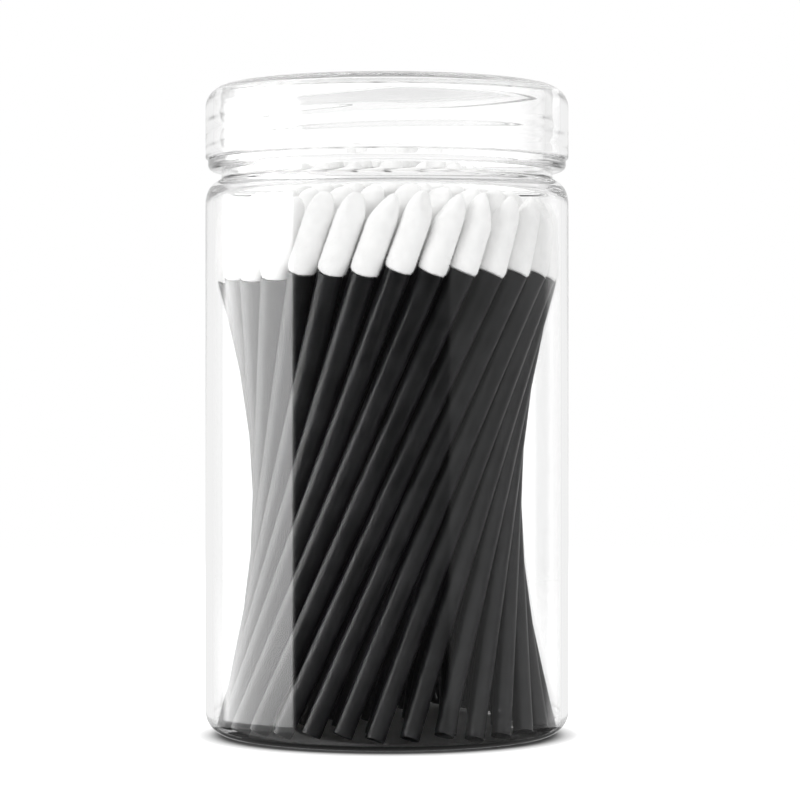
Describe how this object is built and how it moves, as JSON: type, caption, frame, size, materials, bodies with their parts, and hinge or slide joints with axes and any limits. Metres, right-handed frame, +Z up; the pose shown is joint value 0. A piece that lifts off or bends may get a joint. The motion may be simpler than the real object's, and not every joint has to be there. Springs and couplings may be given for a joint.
{
  "type": "jar of disposable lip brushes",
  "caption": "Clear plastic jar with a screw lid, filled with a twisted bundle of black lip brushes with white flocked tips.",
  "frame": {"origin": "centre of the base, in the plane that the jar stands on", "axes": "+Z up along the jar's axis, towards the lid; -Y is the side the picture shows"},
  "size_m": [0.057, 0.057, 0.1015],
  "materials": {
    "jar_plastic": "clear, polished",
    "lid_plastic": "clear, polished",
    "seal_plastic": "translucent, soft",
    "handle_plastic": "satin black",
    "tip_flock": "white flock"
  },
  "bodies": {
    "jar": {"jar": "jar_plastic", "inner_handles": "handle_plastic", "inner_tips": "tip_flock", "handle_01": "handle_plastic", "handle_02": "handle_plastic", "handle_03": "handle_plastic", "handle_04": "handle_plastic", "handle_05": "handle_plastic", "handle_06": "handle_plastic", "handle_07": "handle_plastic", "handle_08": "handle_plastic", "handle_09": "handle_plastic", "handle_10": "handle_plastic", "handle_11": "handle_plastic", "handle_12": "handle_plastic", "handle_13": "handle_plastic", "handle_14": "handle_plastic", "handle_15": "handle_plastic", "handle_16": "handle_plastic", "handle_17": "handle_plastic", "handle_18": "handle_plastic", "handle_19": "handle_plastic", "handle_20": "handle_plastic", "handle_21": "handle_plastic", "handle_22": "handle_plastic", "handle_23": "handle_plastic", "handle_24": "handle_plastic", "handle_25": "handle_plastic", "handle_26": "handle_plastic", "handle_27": "handle_plastic", "tip_01": "tip_flock", "tip_02": "tip_flock", "tip_03": "tip_flock", "tip_04": "tip_flock", "tip_05": "tip_flock", "tip_06": "tip_flock", "tip_07": "tip_flock", "tip_08": "tip_flock", "tip_09": "tip_flock", "tip_10": "tip_flock", "tip_11": "tip_flock", "tip_12": "tip_flock", "tip_13": "tip_flock", "tip_14": "tip_flock", "tip_15": "tip_flock", "tip_16": "tip_flock", "tip_17": "tip_flock", "tip_18": "tip_flock", "tip_19": "tip_flock", "tip_20": "tip_flock", "tip_21": "tip_flock", "tip_22": "tip_flock", "tip_23": "tip_flock", "tip_24": "tip_flock", "tip_25": "tip_flock", "tip_26": "tip_flock", "tip_27": "tip_flock"},
    "seal": {"seal_ring": "seal_plastic"},
    "lid": {"lid": "lid_plastic"}
  },
  "joints": [
    {"name": "lid_rise", "type": "slide", "parent": "jar", "child": "seal", "axis": [0, 0, 1], "range_m": [0, 0.012]},
    {"name": "lid_turn", "type": "hinge", "parent": "seal", "child": "lid", "pos_m": [0, 0, 0.1], "axis": [0, 0, 1], "range_deg": [0, 1080]}
  ],
  "couplings": [
    {"joint": "lid_rise", "follows": "lid_turn", "m_per_rad": 0.00063661}
  ]
}
